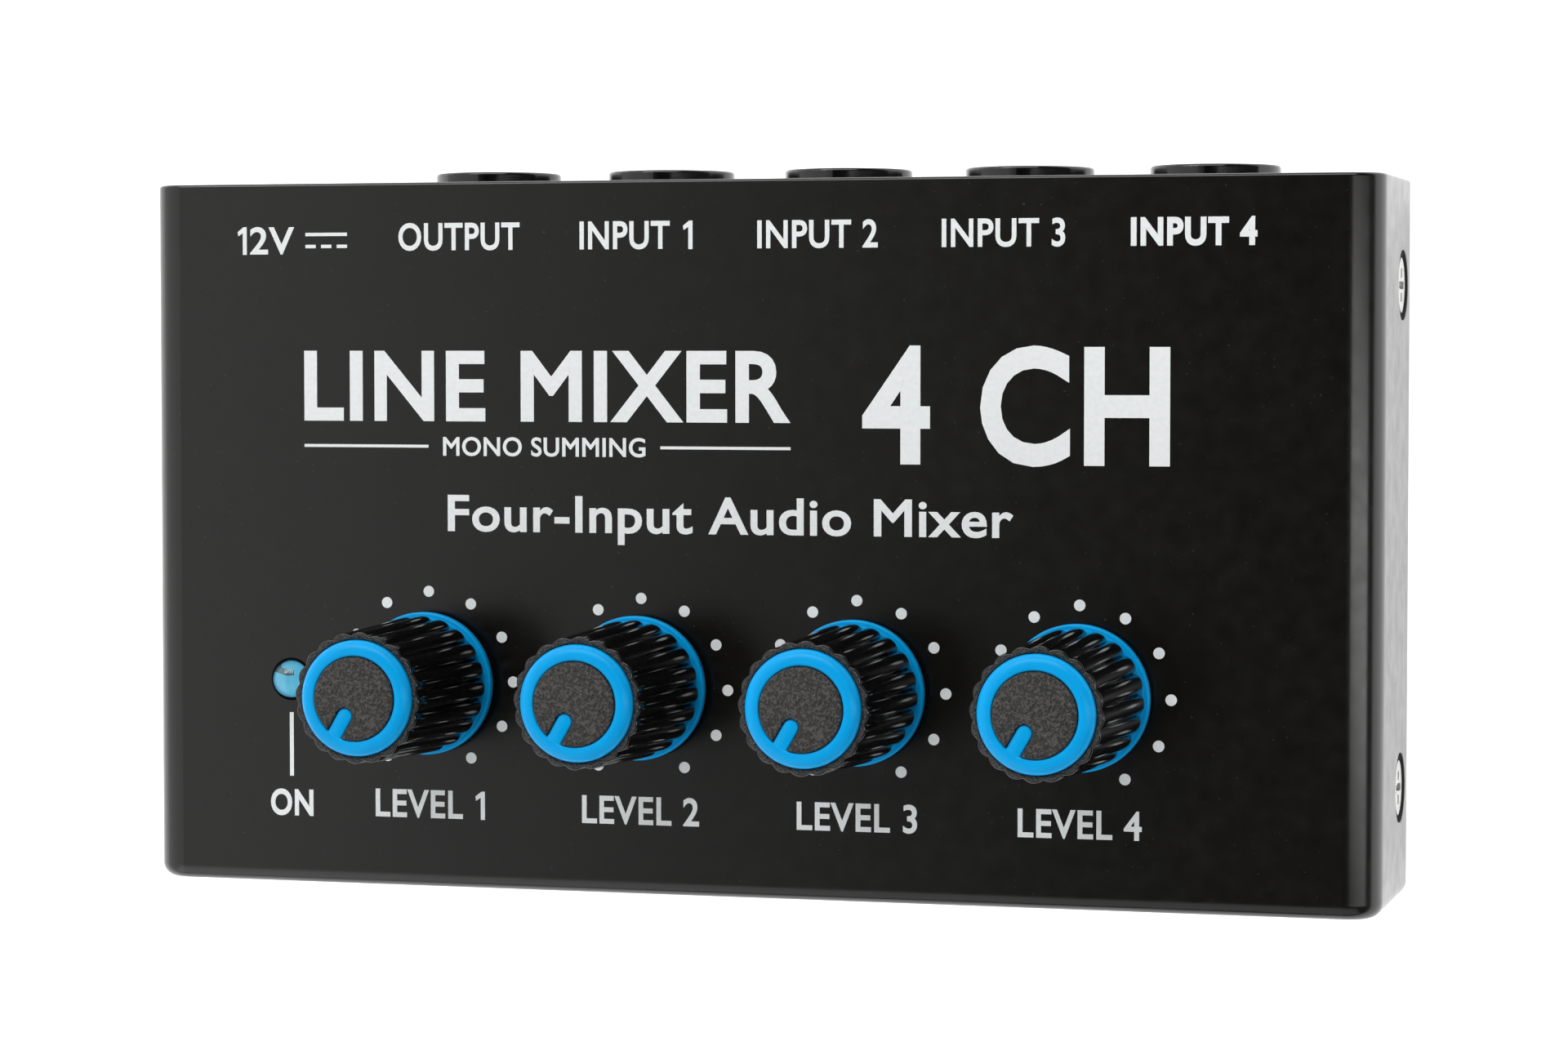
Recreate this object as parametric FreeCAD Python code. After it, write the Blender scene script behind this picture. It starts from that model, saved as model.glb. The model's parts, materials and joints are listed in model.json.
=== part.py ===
"""Four-channel line mixer in a folded sheet-metal case.

The mixer lies flat on its feet. +X runs to the right along the panel, +Y runs to the rear wall with
the jack sockets, and +Z points up out of the panel. The origin is on the surface it stands on, at the
centre of the whole object's outline. All lengths are in millimetres.
"""
import math
import os

import FreeCAD
import Part

V = FreeCAD.Vector

# ---------------------------------------------------------------- driving dimensions
# Case
CASE_LENGTH = 130.0            # along X, outside the cover
CASE_WIDTH = 73.4              # along Y, cover front face to cover rear edge
COVER_DEPTH = 21.6             # along Z, panel surface to the cover's lower edge
COVER_SHEET = 1.2
SIDE_BEND_RADIUS = 3.5         # outside radius where the panel folds into the side walls
FRONT_RADIUS = 1.5             # outside radius all round the front wall
EDGE_SOFTENING = 0.35          # rounding of the cover's cut rear edge
CHASSIS_SHEET = 1.0
CHASSIS_GAP = 0.15             # between the chassis and the inside of the cover
FOLD_RADIUS = 0.9              # outside radius where the rear wall folds up
FLANGE_HEIGHT = 11.0           # of the chassis side flanges, from the case's lower edge
FLANGE_END_GAP = 2.5           # from each end of a side flange to the wall in front of it
REAR_RECESS = 0.25             # rear wall's outer face, in from the cover's rear edge
FOOT_HEIGHT = 2.4
FOOT_RADIUS = 5.0
FOOT_X = 54.0
FOOT_Y = 26.0

# Case screws: countersunk, through the side walls
SCREW_DEPTH = 16.5             # below the panel surface
SCREW_Y = 25.5                 # each side of the screws' middle
SCREW_SHIFT_Y = 0.4            # the screws' middle, from the case's middle to the rear
SCREW_HEAD_RADIUS = 2.8
SCREW_SHANK_RADIUS = 1.45
SCREW_THREAD_RADIUS = 1.5
SCREW_LENGTH = 6.0
SCREW_RECESS = 0.2
DISH_RADIUS = 3.8              # pressed dish round each screw head
CROSS_WIDTH = 0.75
CROSS_SPAN = 3.4
CROSS_DEPTH = 0.6
CROSS_CENTRE_RADIUS = 0.9      # at the face; it narrows to the cross's width at the bottom

# Quarter-inch jacks
JACK_NAMES = ("output", "input_1", "input_2", "input_3", "input_4")
JACK_PITCH = 19.2
JACK_FIRST_X = -30.3
JACK_DEPTH = 12.5              # axis below the panel surface
JACK_BORE_RADIUS = 3.25
NUT_FLANGE_RADIUS = 6.6
NUT_FLANGE_THICKNESS = 1.0
NUT_TUBE_RADIUS = 5.3
NUT_TUBE_LENGTH = 6.5
WALL_HOLE_CLEARANCE = 0.2
WASHER_THICKNESS = 0.5
WASHER_BORE_RADIUS = 5.6
JACK_BODY_WIDTH = 15.6
JACK_BODY_LENGTH = 30.5
JACK_CHAMBER_RADIUS = 3.9
JACK_BACK_WALL = 1.6

# Power inlet: 5.5 mm barrel with a 2.1 mm centre pin
INLET_X = -49.3
INLET_WIDTH = 9.0
INLET_LENGTH = 13.4
INLET_BORE_RADIUS = 3.1
INLET_NOSE_RADIUS = 4.0
INLET_PIN_RADIUS = 1.05
INLET_PIN_LENGTH = 8.5

# Circuit board
BOARD_THICKNESS = 1.2
BOARD_STANDOFF = 1.3
BOARD_HALF_LENGTH = 61.0
BOARD_FRONT_Y = -33.5
BOARD_REAR_Y = 33.0
BOARD_SCREWS = ((-57.0, -29.5), (57.0, -29.5), (-57.0, 3.0), (57.0, 3.0))
BOARD_HOLE_RADIUS = 1.3
BOARD_SCREW_RADIUS = 1.2
BOARD_SCREW_HEAD_RADIUS = 2.2
BOARD_SCREW_HEAD_HEIGHT = 1.4
STANDOFF_RADIUS = 2.6
STANDOFF_BORE_RADIUS = 1.25
LEG_PITCH = 2.54               # between the legs of chips, the regulator and the lamp
LEG_HALF = 0.4
CHIP_LENGTH = 9.6
CHIP_WIDTH = 6.4
CHIP_LOW = 0.5                 # heights above the board
CHIP_HIGH = 3.8
REGULATOR_PLACE = (-45.0, 11.0)
REGULATOR_HALF_WIDTH = 5.0
REGULATOR_HALF_DEPTH = 2.2
REGULATOR_LOW = 1.5            # heights above the board
REGULATOR_HIGH = 10.0
REGULATOR_TAB_HIGH = 15.0
CAN_RADIUS = 3.15
CAN_HEIGHT = 9.0
CAN_PLACES = ((-56.0, 10.0), (-50.0, 0.0), (-42.0, 0.0), (40.0, 0.5), (48.0, 0.5))

# Level controls
KNOB_COUNT = 4
KNOB_PITCH = 22.96
KNOB_CENTRE_X = 0.77
KNOB_Y = -15.2
POINTER_START_DEG = 150.0      # pointer's turn from the rear, at the low end of its travel
POT_WIDTH = 9.8
POT_LENGTH = 11.6
POT_HEIGHT = 7.2
POT_WALL = 1.0
POT_BUSHING_RADIUS = 4.0
POT_BUSHING_HEIGHT = 5.0
SHAFT_RADIUS = 3.0
SHAFT_CLEARANCE = 0.05
SHAFT_FLAT = 1.5               # from the axis to the flat of the D
SHAFT_TOP = 17.0               # above the panel surface
SHAFT_HOLE_RADIUS = 3.8
WIPER_RADIUS = 3.6

# Knob, heights above the panel surface
KNOB_GAP = 1.0
KNOB_FLANGE_TOP = 2.2
KNOB_RING_HEIGHT = 20.6
KNOB_CAP_HEIGHT = 21.7
KNOB_FLANGE_RADIUS = 7.4
GRIP_BASE_RADIUS = 7.15
GRIP_TOP_RADIUS = 6.6
GRIP_LOBES = 20
GRIP_GROOVE_DEPTH = 0.32
RING_OUTER_RADIUS = 5.8
RING_INNER_RADIUS = 4.2
KNOB_STEM_RADIUS = 4.6
RING_DEPTH = 2.4               # height of the coloured ring's band inside the grip
CAP_DEPTH = 1.6
POINTER_HALF_WIDTH = 0.8
POINTER_INNER_RADIUS = 2.0    # centre of the pointer's round inner end
CAP_SLOT_GAP = 0.02

# Indicator lamp
LAMP_X = -49.1
LAMP_RADIUS = 1.95
LAMP_HOLE_RADIUS = 2.15
LAMP_PROUD = 1.9
LAMP_RIM_RADIUS = 2.5
LAMP_RIM_HEIGHT = 1.0
LAMP_LEAD_HALF = 0.25

# ---------------------------------------------------------------- derived places
PANEL_Z = FOOT_HEIGHT + COVER_DEPTH
NUT_PROUD = WASHER_THICKNESS + NUT_FLANGE_THICKNESS - REAR_RECESS
MID_Y = -NUT_PROUD / 2         # the case's middle, so that the whole outline is centred
HALF_LENGTH = CASE_LENGTH / 2
FRONT_Y = MID_Y - CASE_WIDTH / 2
REAR_Y = MID_Y + CASE_WIDTH / 2
WALL_OUTER_Y = REAR_Y - REAR_RECESS
WALL_INNER_Y = WALL_OUTER_Y - CHASSIS_SHEET
FLOOR_Z = FOOT_HEIGHT + CHASSIS_SHEET
BOARD_Z = FLOOR_Z + BOARD_STANDOFF
BOARD_TOP = BOARD_Z + BOARD_THICKNESS
JACK_Z = PANEL_Z - JACK_DEPTH
SCREW_Z = PANEL_Z - SCREW_DEPTH
ROW_Y = MID_Y + KNOB_Y
JACK_X = [JACK_FIRST_X + i * JACK_PITCH for i in range(len(JACK_NAMES))]
KNOB_X = [KNOB_CENTRE_X + (i - (KNOB_COUNT - 1) / 2) * KNOB_PITCH for i in range(KNOB_COUNT)]
CASE_SCREWS = [(side, MID_Y + SCREW_SHIFT_Y + y) for side in (-1, 1) for y in (-SCREW_Y, SCREW_Y)]
FEET = [(x, MID_Y + y) for x in (-FOOT_X, FOOT_X) for y in (-FOOT_Y, FOOT_Y)]

X_AXIS = V(1, 0, 0)
Y_AXIS = V(0, 1, 0)
Z_AXIS = V(0, 0, 1)


# ---------------------------------------------------------------- helpers
def block(x0, x1, y0, y1, z0, z1):
    """A box between two corners."""
    return Part.makeBox(x1 - x0, y1 - y0, z1 - z0, V(x0, y0, z0))


def rod(start, axis, radius, length):
    """A round bar from a start point along an axis."""
    return Part.makeCylinder(radius, length, start, axis)


def ring(start, axis, outer, inner, length):
    """A tube from a start point along an axis."""
    return rod(start, axis, outer, length).cut(rod(start, axis, inner, length))


def turned(points):
    """A solid turned round the Z axis from (radius, height) points."""
    wire = Part.makePolygon([V(r, 0, z) for r, z in points] + [V(points[0][0], 0, points[0][1])])
    return Part.Face(wire).revolve(V(0, 0, 0), Z_AXIS, 360)


def round_edges(shape, radius, chosen):
    """Fillet the edges that the test picks."""
    return shape.makeFillet(radius, [edge for edge in shape.Edges if chosen(edge)])


def lies_at(value, target, tolerance=1e-4):
    return abs(value - target) < tolerance


def is_straight(edge, axis):
    return isinstance(edge.Curve, Part.Line) and edge.Curve.Direction.cross(axis).Length < 1e-6


def export(name, shape):
    """Write one node, and stop if it isn't made of good closed solids."""
    solids = shape.Solids
    if not solids or not shape.isValid():
        raise ValueError("bad shape: " + name)
    node = solids[0] if len(solids) == 1 else Part.makeCompound(solids)
    node.exportStep("parts/" + name + ".step")


# ---------------------------------------------------------------- case
def cover_block(inset):
    """The cover's outside form (inset 0) or its hollow, which runs out at the rear and below."""
    open_end = 0.0 if inset == 0 else 5.0
    low_x, high_x = -HALF_LENGTH + inset, HALF_LENGTH - inset
    front, top = FRONT_Y + inset, PANEL_Z - inset
    body = block(low_x, high_x, front, REAR_Y + open_end, FOOT_HEIGHT - open_end, top)
    body = round_edges(body, SIDE_BEND_RADIUS - inset,
                       lambda e: is_straight(e, Y_AXIS) and lies_at(e.CenterOfMass.z, top))

    def on_front_outline(edge):
        box = edge.BoundBox
        return lies_at(box.YMax, front, 1e-3) and box.ZMax > FOOT_HEIGHT - open_end + 1e-3

    return round_edges(body, FRONT_RADIUS - inset, on_front_outline)


def side_screw_hole(side, y):
    """The pressed dish, countersink and through hole in one side wall, as a cutting tool."""
    face_x = side * HALF_LENGTH
    inward = V(-side, 0, 0)
    start = V(face_x, y, SCREW_Z)
    dish = Part.makeCone(DISH_RADIUS, SCREW_HEAD_RADIUS + 0.1, SCREW_RECESS, start, inward)
    sink_start = V(face_x - side * SCREW_RECESS, y, SCREW_Z)
    sink = Part.makeCone(SCREW_HEAD_RADIUS + 0.1, SCREW_THREAD_RADIUS + 0.2,
                         COVER_SHEET - SCREW_RECESS, sink_start, inward)
    through = rod(start, inward, SCREW_THREAD_RADIUS + 0.2, COVER_SHEET + 1)
    return dish.fuse([sink, through])


def make_top_cover():
    cover = cover_block(0.0).cut(cover_block(COVER_SHEET))
    cutters = [side_screw_hole(side, y) for side, y in CASE_SCREWS]
    hole_z = PANEL_Z - 2 * COVER_SHEET
    for x in KNOB_X:
        cutters.append(rod(V(x, ROW_Y, hole_z), Z_AXIS, SHAFT_HOLE_RADIUS, 3 * COVER_SHEET))
    cutters.append(rod(V(LAMP_X, ROW_Y, hole_z), Z_AXIS, LAMP_HOLE_RADIUS, 3 * COVER_SHEET))
    cover = cover.cut(cutters)

    def on_rear_outline(edge):
        box = edge.BoundBox
        inner_edge = (box.ZMax < PANEL_Z - COVER_SHEET + 1e-3
                      and max(abs(box.XMin), abs(box.XMax)) < HALF_LENGTH - COVER_SHEET + 1e-3)
        return lies_at(box.YMin, REAR_Y, 1e-3) and not inner_edge and box.ZMax > FOOT_HEIGHT + 1e-3

    return round_edges(cover, EDGE_SOFTENING, on_rear_outline)


CHASSIS_HALF = HALF_LENGTH - COVER_SHEET - CHASSIS_GAP
CHASSIS_FRONT_Y = FRONT_Y + COVER_SHEET + CHASSIS_GAP


def make_base_plate():
    """Flat floor of the case, up to the rear wall."""
    return block(-CHASSIS_HALF, CHASSIS_HALF, CHASSIS_FRONT_Y, WALL_INNER_Y, FOOT_HEIGHT, FLOOR_Z)


def make_rear_wall():
    """Wall folded up at the rear, with round upper corners and a hole for each socket."""
    top = PANEL_Z - COVER_SHEET - CHASSIS_GAP
    wall = block(-CHASSIS_HALF, CHASSIS_HALF, WALL_INNER_Y, WALL_OUTER_Y, FOOT_HEIGHT, top)
    wall = round_edges(wall, SIDE_BEND_RADIUS,
                       lambda e: is_straight(e, Y_AXIS) and lies_at(e.CenterOfMass.z, top))
    wall = round_edges(wall, FOLD_RADIUS, lambda e: (
        is_straight(e, X_AXIS) and lies_at(e.CenterOfMass.y, WALL_OUTER_Y)
        and lies_at(e.CenterOfMass.z, FOOT_HEIGHT)))
    holes = [(x, NUT_TUBE_RADIUS) for x in JACK_X] + [(INLET_X, INLET_NOSE_RADIUS)]
    cutters = [rod(V(x, WALL_INNER_Y - 1, JACK_Z), Y_AXIS, radius + WALL_HOLE_CLEARANCE, CHASSIS_SHEET + 2)
               for x, radius in holes]
    return wall.cut(cutters)


def make_side_flanges():
    """Flanges folded up at the sides, which take the case screws."""
    flanges = []
    for side in (-1, 1):
        low_x, high_x = sorted((side * CHASSIS_HALF, side * (CHASSIS_HALF - CHASSIS_SHEET)))
        flange = block(low_x, high_x, CHASSIS_FRONT_Y + FLANGE_END_GAP, WALL_INNER_Y - FLANGE_END_GAP,
                       FLOOR_Z, FOOT_HEIGHT + FLANGE_HEIGHT)
        holes = [rod(V(side * (CHASSIS_HALF + 1), y, SCREW_Z), V(-side, 0, 0),
                     SCREW_THREAD_RADIUS, CHASSIS_SHEET + 2)
                 for screw_side, y in CASE_SCREWS if screw_side == side]
        flanges.append(flange.cut(holes))
    return Part.makeCompound(flanges)


def make_case_screws():
    """Countersunk cross-head screws; each head seats in its dish and the shank in the flange."""
    screws = []
    for side, y in CASE_SCREWS:
        inward = V(-side, 0, 0)
        head_x = side * (HALF_LENGTH - SCREW_RECESS)
        cone_height = COVER_SHEET - SCREW_RECESS
        head = Part.makeCone(SCREW_HEAD_RADIUS, SCREW_SHANK_RADIUS, cone_height,
                             V(head_x, y, SCREW_Z), inward)
        shank = rod(V(head_x - side * cone_height, y, SCREW_Z), inward,
                    SCREW_SHANK_RADIUS, SCREW_LENGTH - cone_height)
        screw = head.fuse(shank)
        inner_x = head_x - side * CROSS_DEPTH
        low, high = sorted((inner_x, head_x))
        half_span, half_width = CROSS_SPAN / 2, CROSS_WIDTH / 2
        arms = [block(low, high, y - half_span, y + half_span, SCREW_Z - half_width, SCREW_Z + half_width),
                block(low, high, y - half_width, y + half_width, SCREW_Z - half_span, SCREW_Z + half_span)]
        centre = Part.makeCone(CROSS_CENTRE_RADIUS, half_width, CROSS_DEPTH, V(head_x, y, SCREW_Z), inward)
        screws.append(screw.cut(arms + [centre]))
    return Part.makeCompound(screws)


def make_rubber_feet():
    """Domed stick-on feet, narrower at the ground."""
    feet = []
    for x, y in FEET:
        foot = Part.makeCone(FOOT_RADIUS - 0.6, FOOT_RADIUS, FOOT_HEIGHT, V(x, y, 0), Z_AXIS)
        feet.append(round_edges(foot, 0.7, lambda e: lies_at(e.BoundBox.ZMax, 0.0, 1e-3)))
    return Part.makeCompound(feet)


# ---------------------------------------------------------------- circuit board and its parts
def make_circuit_board():
    board = block(-BOARD_HALF_LENGTH, BOARD_HALF_LENGTH, MID_Y + BOARD_FRONT_Y, MID_Y + BOARD_REAR_Y,
                  BOARD_Z, BOARD_TOP)
    board = round_edges(board, 1.5, lambda e: is_straight(e, Z_AXIS))
    holes = [rod(V(x, MID_Y + y, BOARD_Z - 1), Z_AXIS, BOARD_HOLE_RADIUS, BOARD_THICKNESS + 2)
             for x, y in BOARD_SCREWS]
    return board.cut(holes)


def make_board_standoffs():
    return Part.makeCompound([ring(V(x, MID_Y + y, FLOOR_Z), Z_AXIS, STANDOFF_RADIUS,
                                   STANDOFF_BORE_RADIUS, BOARD_STANDOFF) for x, y in BOARD_SCREWS])


def make_board_screws():
    """Short slotted pan-head screws that stop above the base plate."""
    screws = []
    head_top = BOARD_TOP + BOARD_SCREW_HEAD_HEIGHT
    slot_end = BOARD_SCREW_HEAD_RADIUS + 0.3
    for x, board_y in BOARD_SCREWS:
        y = MID_Y + board_y
        head = rod(V(x, y, BOARD_TOP), Z_AXIS, BOARD_SCREW_HEAD_RADIUS, BOARD_SCREW_HEAD_HEIGHT)
        head = round_edges(head, 0.6, lambda e: lies_at(e.BoundBox.ZMin, head_top, 1e-3))
        shank = rod(V(x, y, FLOOR_Z + 0.1), Z_AXIS, BOARD_SCREW_RADIUS, BOARD_TOP - FLOOR_Z)
        slot = block(x - 0.3, x + 0.3, y - slot_end, y + slot_end, head_top - 0.6, head_top + 1)
        screws.append(head.fuse(shank).cut(slot))
    return Part.makeCompound(screws)


def dual_in_line_chip(x, y):
    """An eight-leg amplifier chip, with its legs down to the board."""
    half_length, half_width = CHIP_LENGTH / 2, CHIP_WIDTH / 2
    body = block(x - half_length, x + half_length, y - half_width, y + half_width,
                 BOARD_TOP + CHIP_LOW, BOARD_TOP + CHIP_HIGH)
    notch = rod(V(x - half_length, y, BOARD_TOP + CHIP_HIGH - 0.6), Z_AXIS, 0.8, 1.0)
    legs = []
    for i in range(4):
        leg_x = x + (i - 1.5) * LEG_PITCH
        for side in (-1, 1):
            low, high = sorted((side * half_width, side * (half_width + 0.7)))
            legs.append(block(leg_x - LEG_HALF, leg_x + LEG_HALF, y + low, y + high,
                              BOARD_TOP, BOARD_TOP + 2.2))
    return body.cut(notch).fuse(legs)


def make_amplifier_chips():
    """One chip between each two neighbouring level controls."""
    return Part.makeCompound([dual_in_line_chip(x + KNOB_PITCH / 2, MID_Y + 0.5) for x in KNOB_X[:-1]])


def make_voltage_regulator():
    """An upright three-leg regulator with its metal tab."""
    x, y = REGULATOR_PLACE[0], MID_Y + REGULATOR_PLACE[1]
    half = REGULATOR_HALF_WIDTH
    front, rear = y - REGULATOR_HALF_DEPTH, y + REGULATOR_HALF_DEPTH
    low, high = BOARD_TOP + REGULATOR_LOW, BOARD_TOP + REGULATOR_HIGH
    tab_high = BOARD_TOP + REGULATOR_TAB_HIGH
    body = block(x - half, x + half, front, rear, low, high)
    tab = block(x - half, x + half, rear - 1.2, rear, high, tab_high)
    tab = tab.cut(rod(V(x, y, (high + tab_high) / 2), Y_AXIS, 1.8, 5.0))
    legs = [block(x + d - LEG_HALF, x + d + LEG_HALF, y - 0.3, y + 0.3, BOARD_TOP, low)
            for d in (-LEG_PITCH, 0.0, LEG_PITCH)]
    return body.fuse([tab] + legs)


def make_filter_capacitors():
    """Upright can capacitors beside the regulator and the amplifier chips."""
    cans = []
    can_top = BOARD_TOP + CAN_HEIGHT
    for x, y in CAN_PLACES:
        can = rod(V(x, MID_Y + y, BOARD_TOP), Z_AXIS, CAN_RADIUS, CAN_HEIGHT)
        cans.append(round_edges(can, 0.6, lambda e: lies_at(e.BoundBox.ZMin, can_top, 1e-3)))
    return Part.makeCompound(cans)


def make_chip_resistors():
    """Two rows of small surface resistors in front of and behind the level controls."""
    resistors = []
    for x in KNOB_X:
        for dx in (-5.0, 0.0, 5.0):
            for row_y in (-26.0, -5.5):
                y = MID_Y + row_y
                resistors.append(block(x + dx - 1.6, x + dx + 1.6, y - 0.8, y + 0.8,
                                       BOARD_TOP, BOARD_TOP + 0.6))
    return Part.makeCompound(resistors)


# ---------------------------------------------------------------- jacks and power inlet
def make_jack_body(x):
    """Moulded housing with the nut's socket, the plug chamber and a slot for the tip spring."""
    half = JACK_BODY_WIDTH / 2
    low_y = WALL_INNER_Y - JACK_BODY_LENGTH
    body = block(x - half, x + half, low_y, WALL_INNER_Y, BOARD_TOP, 2 * JACK_Z - BOARD_TOP)
    body = round_edges(body, 0.5, lambda e: is_straight(e, Y_AXIS))
    socket_depth = NUT_TUBE_LENGTH - CHASSIS_SHEET - WASHER_THICKNESS
    socket = rod(V(x, WALL_INNER_Y - socket_depth, JACK_Z), Y_AXIS, NUT_TUBE_RADIUS, socket_depth + 1)
    chamber_start = low_y + JACK_BACK_WALL
    chamber = rod(V(x, chamber_start, JACK_Z), Y_AXIS, JACK_CHAMBER_RADIUS,
                  JACK_BODY_LENGTH - JACK_BACK_WALL - socket_depth + 0.5)
    spring_slot = block(x - 1.4, x + 1.4, chamber_start + 1.0, chamber_start + 14.0,
                        JACK_Z, 2 * JACK_Z - BOARD_TOP + 1)
    return body.cut([socket, chamber, spring_slot])


def make_jack_nut(x):
    """Round bezel nut: a flange outside the wall and a threaded tube that the plug goes through."""
    flange_start = WALL_OUTER_Y + WASHER_THICKNESS
    flange = rod(V(x, flange_start, JACK_Z), Y_AXIS, NUT_FLANGE_RADIUS, NUT_FLANGE_THICKNESS)
    outer_y = flange_start + NUT_FLANGE_THICKNESS
    flange = round_edges(flange, 0.3, lambda e: lies_at(e.BoundBox.YMin, outer_y, 1e-3))
    tube = rod(V(x, flange_start - NUT_TUBE_LENGTH, JACK_Z), Y_AXIS, NUT_TUBE_RADIUS, NUT_TUBE_LENGTH)
    bore = rod(V(x, flange_start - NUT_TUBE_LENGTH - 1, JACK_Z), Y_AXIS, JACK_BORE_RADIUS,
               NUT_TUBE_LENGTH + NUT_FLANGE_THICKNESS + 2)
    mouth = Part.makeCone(JACK_BORE_RADIUS, JACK_BORE_RADIUS + 0.5, 0.5, V(x, outer_y - 0.5, JACK_Z), Y_AXIS)
    return flange.fuse(tube).cut([bore, mouth])


def make_jack_washers():
    return Part.makeCompound([ring(V(x, WALL_OUTER_Y, JACK_Z), Y_AXIS, NUT_FLANGE_RADIUS - 0.05,
                                   WASHER_BORE_RADIUS, WASHER_THICKNESS) for x in JACK_X])


def bent_strip(points, half_width, x, thickness):
    """A flat spring strip: a path in the YZ plane, thickened and given a width along X."""
    near = [V(x - half_width, y, z) for y, z in points]
    far = [V(x - half_width, y, z + thickness) for y, z in reversed(points)]
    face = Part.Face(Part.makePolygon(near + far + [near[0]]))
    return face.extrude(V(2 * half_width, 0, 0))


def make_tip_spring(x):
    """Leaf that dips through the slot into the chamber to touch a plug's tip."""
    start = WALL_INNER_Y - JACK_BODY_LENGTH + JACK_BACK_WALL + 1.3
    top = 2 * JACK_Z - BOARD_TOP
    points = [(start, top - 0.4), (start + 2.0, top - 0.6), (start + 5.0, JACK_Z + 2.2),
              (start + 6.5, JACK_Z + 2.2), (start + 9.0, JACK_Z + 4.6), (start + 11.5, JACK_Z + 4.8)]
    return bent_strip(points, 1.1, x, 0.3)


def make_sleeve_contacts():
    """Flat earth contacts on the chamber floor, just inside each bezel nut."""
    start = WALL_INNER_Y - 12.0
    points = [(start, JACK_Z - 3.75), (start + 2.0, JACK_Z - 3.4), (start + 4.0, JACK_Z - 3.75)]
    return Part.makeCompound([bent_strip(points, 0.8, x, 0.25) for x in JACK_X])


def make_inlet_body():
    """Barrel power socket: a block on the board with a round nose in the rear wall."""
    half = INLET_WIDTH / 2
    low_y = WALL_INNER_Y - INLET_LENGTH
    body = block(INLET_X - half, INLET_X + half, low_y, WALL_INNER_Y, BOARD_TOP, JACK_Z + half)
    body = round_edges(body, 0.5, lambda e: is_straight(e, Y_AXIS))
    nose = rod(V(INLET_X, WALL_INNER_Y, JACK_Z), Y_AXIS, INLET_NOSE_RADIUS, CHASSIS_SHEET)
    socket = rod(V(INLET_X, WALL_OUTER_Y - INLET_PIN_LENGTH - 0.8, JACK_Z), Y_AXIS,
                 INLET_BORE_RADIUS, INLET_PIN_LENGTH + 2)
    spring_slot = block(INLET_X - 1.2, INLET_X + 1.2, low_y + 4.2, low_y + 10.5,
                        BOARD_TOP, JACK_Z)
    return body.fuse(nose).cut([socket, spring_slot])


def make_inlet_pin():
    """Centre pin, held in the socket's back wall, with a rounded tip."""
    back = WALL_OUTER_Y - INLET_PIN_LENGTH - 0.8
    pin = rod(V(INLET_X, back, JACK_Z), Y_AXIS, INLET_PIN_RADIUS, INLET_PIN_LENGTH)
    tip_y = back + INLET_PIN_LENGTH
    return round_edges(pin, 0.4, lambda e: lies_at(e.BoundBox.YMin, tip_y, 1e-3))


def make_inlet_spring():
    """Leaf that touches the outside of the power plug's barrel."""
    start = WALL_INNER_Y - INLET_LENGTH + 4.5
    points = [(start, JACK_Z - 4.4), (start + 2.5, JACK_Z - 3.3), (start + 3.5, JACK_Z - 3.3),
              (start + 5.6, JACK_Z - 4.4)]
    return bent_strip(points, 1.0, INLET_X, 0.25)


# ---------------------------------------------------------------- level controls
def at_low_end(shape, x):
    """Place a shape built round the Z axis, pointer to the rear, on knob x at the low end."""
    placed = shape.copy()
    placed.rotate(V(0, 0, 0), Z_AXIS, POINTER_START_DEG)
    placed.translate(V(x, ROW_Y, 0))
    return placed


POT_TOP = BOARD_TOP + POT_HEIGHT
CAVITY_LOW = BOARD_TOP + POT_WALL
CAVITY_HIGH = POT_TOP - POT_WALL


def make_pot_housing(x):
    """Board-mounted potentiometer housing with a round wiper chamber and a plain bushing."""
    body = block(x - POT_WIDTH / 2, x + POT_WIDTH / 2, ROW_Y - POT_LENGTH / 2, ROW_Y + POT_LENGTH / 2,
                 BOARD_TOP, POT_TOP)
    body = round_edges(body, 0.6, lambda e: is_straight(e, Z_AXIS))
    bushing = rod(V(x, ROW_Y, POT_TOP), Z_AXIS, POT_BUSHING_RADIUS, POT_BUSHING_HEIGHT)
    chamber = rod(V(x, ROW_Y, CAVITY_LOW), Z_AXIS, WIPER_RADIUS + 0.5, CAVITY_HIGH - CAVITY_LOW)
    bore = rod(V(x, ROW_Y, CAVITY_LOW), Z_AXIS, SHAFT_RADIUS + SHAFT_CLEARANCE,
               POT_HEIGHT + POT_BUSHING_HEIGHT)
    return body.fuse(bushing).cut([chamber, bore])


def d_bar(radius, low, high, flat_from):
    """A round bar whose upper part, from height flat_from, has a flat on the side away from +Y."""
    bar = rod(V(0, 0, low), Z_AXIS, radius, high - low)
    return bar.cut(block(-radius - 1, radius + 1, -radius - 1, -SHAFT_FLAT, flat_from, high + 1))


def make_pot_shaft(x):
    shaft = d_bar(SHAFT_RADIUS, CAVITY_LOW + 0.4, PANEL_Z + SHAFT_TOP, PANEL_Z + KNOB_FLANGE_TOP)
    return at_low_end(shaft, x)


def make_pot_wiper(x):
    """Wiper plate on the shaft's foot with a sprung contact finger."""
    low = CAVITY_LOW + 1.6
    plate = ring(V(0, 0, low), Z_AXIS, WIPER_RADIUS, SHAFT_RADIUS, 0.8)
    finger = ring(V(0, 0, low - 1.0), Z_AXIS, WIPER_RADIUS, SHAFT_RADIUS, 1.0)
    finger = finger.common(block(-1.5, 1.5, 0, WIPER_RADIUS + 1, low - 2, low + 2))
    return at_low_end(plate.fuse(finger), x)


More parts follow.
